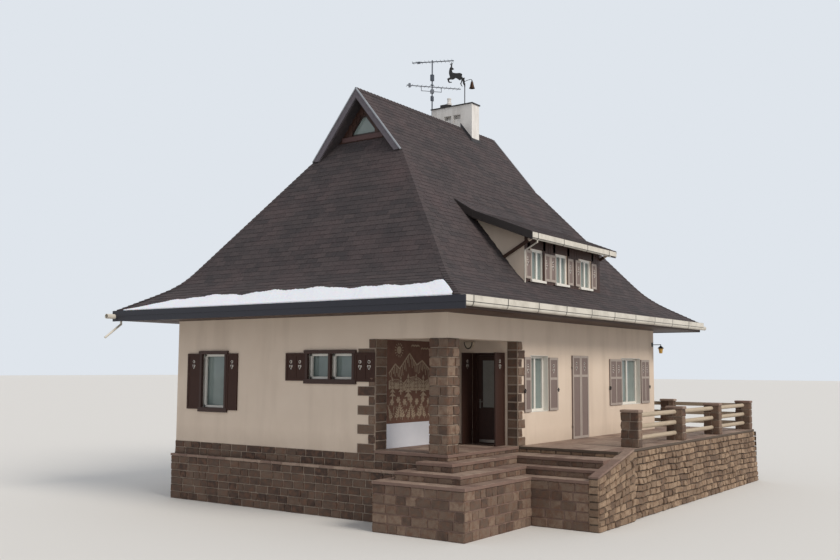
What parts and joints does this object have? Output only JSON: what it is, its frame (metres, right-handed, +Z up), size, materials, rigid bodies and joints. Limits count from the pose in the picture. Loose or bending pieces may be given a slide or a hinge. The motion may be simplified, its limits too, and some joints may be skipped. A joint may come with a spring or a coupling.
{
  "type": "chalet",
  "caption": "Alpine chalet with a steep hipped roof, gable tips, a shed dormer, a corner porch with a stone pier, and a raised stone terrace with wooden rails.",
  "frame": {"origin": "middle of the front wall's foot, on the ground under the base", "axes": "X along the entrance front to the right, Y back along the terrace side, Z up"},
  "size_m": [12.01, 14.3211, 12.6805],
  "materials": {
    "plinth": "rough-faced coursed stone",
    "ground_floor": "stone paving",
    "front_wall": "render on masonry",
    "left_wall": "render on masonry",
    "rear_wall": "render on masonry",
    "right_wall": "render on masonry",
    "porch_walls": "render on masonry",
    "door_lintels": "render on masonry",
    "corner_pier": "rough-faced coursed stone",
    "porch_beams": "render on masonry",
    "attic_floor": "boards",
    "eaves": "stained boards",
    "roof_front": "mineral-faced shingles",
    "roof_rear": "mineral-faced shingles",
    "roof_left": "mineral-faced shingles",
    "roof_right": "mineral-faced shingles",
    "gablet_walls": "stained boards",
    "bargeboards": "stained boards",
    "dormer_walls": "stained boards",
    "dormer_roof": "mineral-faced shingles",
    "gutters": "matt paint",
    "chimney": "render on masonry",
    "chimney_cap": "dark sheet",
    "aerial": "weathered",
    "vane_rod": "black paint",
    "vane_figure": "black paint",
    "vane_bell": "tarnished",
    "window_frames": "white paint",
    "window_glass": "clear",
    "window_shutters": "brown stain",
    "hinge_pins": "black paint",
    "door_frame": "brown stain",
    "front_door": "brown stain",
    "front_door_glass": "textured",
    "outer_door_left": "brown stain",
    "outer_door_right": "brown stain",
    "terrace_shutter_left": "brown stain",
    "terrace_shutter_right": "brown stain",
    "step_upper": "split stone",
    "step_middle": "split stone",
    "step_lower": "split stone",
    "terrace_base": "rubble",
    "terrace_posts": "rubble",
    "terrace_rails": "weathered",
    "wall_lamps": "tinted glass"
  },
  "bodies": {
    "house": {"plinth": "plinth", "ground_floor": "ground_floor", "front_wall": "front_wall", "left_wall": "left_wall", "rear_wall": "rear_wall", "right_wall": "right_wall", "porch_walls": "porch_walls", "door_lintels": "door_lintels", "corner_pier": "corner_pier", "porch_beams": "porch_beams", "attic_floor": "attic_floor", "eaves": "eaves", "roof_front": "roof_front", "roof_rear": "roof_rear", "roof_left": "roof_left", "roof_right": "roof_right", "gablet_walls": "gablet_walls", "bargeboards": "bargeboards", "dormer_walls": "dormer_walls", "dormer_roof": "dormer_roof", "gutters": "gutters", "chimney": "chimney", "chimney_cap": "chimney_cap", "aerial": "aerial", "vane_rod": "vane_rod", "window_frames": "window_frames", "window_glass": "window_glass", "window_shutters": "window_shutters", "door_frame": "door_frame", "hinge_pins": "hinge_pins", "step_upper": "step_upper", "step_middle": "step_middle", "step_lower": "step_lower", "terrace_base": "terrace_base", "terrace_posts": "terrace_posts", "terrace_rails": "terrace_rails", "wall_lamps": "wall_lamps"},
    "front_door_leaf": {"front_door": "front_door", "front_door_glass": "front_door_glass"},
    "outer_leaf_left": {"outer_door_left": "outer_door_left"},
    "outer_leaf_right": {"outer_door_right": "outer_door_right"},
    "terrace_leaf_left": {"terrace_shutter_left": "terrace_shutter_left"},
    "terrace_leaf_right": {"terrace_shutter_right": "terrace_shutter_right"},
    "weather_vane": {"vane_figure": "vane_figure"},
    "bell": {"vane_bell": "vane_bell"}
  },
  "joints": [
    {"name": "front_door_hinge", "type": "hinge", "parent": "house", "child": "front_door_leaf", "pos_m": [3.724, 2.9605, 2.5], "axis": [0, 0, -1], "range_deg": [0, 90]},
    {"name": "outer_left_hinge", "type": "hinge", "parent": "house", "child": "outer_leaf_left", "pos_m": [2.905, 2.7075, 2.5], "axis": [0, 0, -1], "range_deg": [-90, 80]},
    {"name": "outer_right_hinge", "type": "hinge", "parent": "house", "child": "outer_leaf_right", "pos_m": [3.79, 2.7075, 2.5], "axis": [0, 0, 1], "range_deg": [-90, 80]},
    {"name": "terrace_left_hinge", "type": "hinge", "parent": "house", "child": "terrace_leaf_left", "pos_m": [4.15, 5.4825, 2.5], "axis": [0, 0, -1], "range_deg": [0, 175]},
    {"name": "terrace_right_hinge", "type": "hinge", "parent": "house", "child": "terrace_leaf_right", "pos_m": [4.15, 6.4125, 2.5], "axis": [0, 0, 1], "range_deg": [0, 175]},
    {"name": "vane_spin", "type": "hinge", "parent": "house", "child": "weather_vane", "pos_m": [-0.015, 6.9425, 11.6405], "axis": [0, 0, 1], "continuous": true},
    {"name": "bell_swing", "type": "hinge", "parent": "weather_vane", "child": "bell", "pos_m": [0.24, 6.9425, 11.7905], "axis": [0, 1, 0], "range_deg": [-25, 25]}
  ]
}
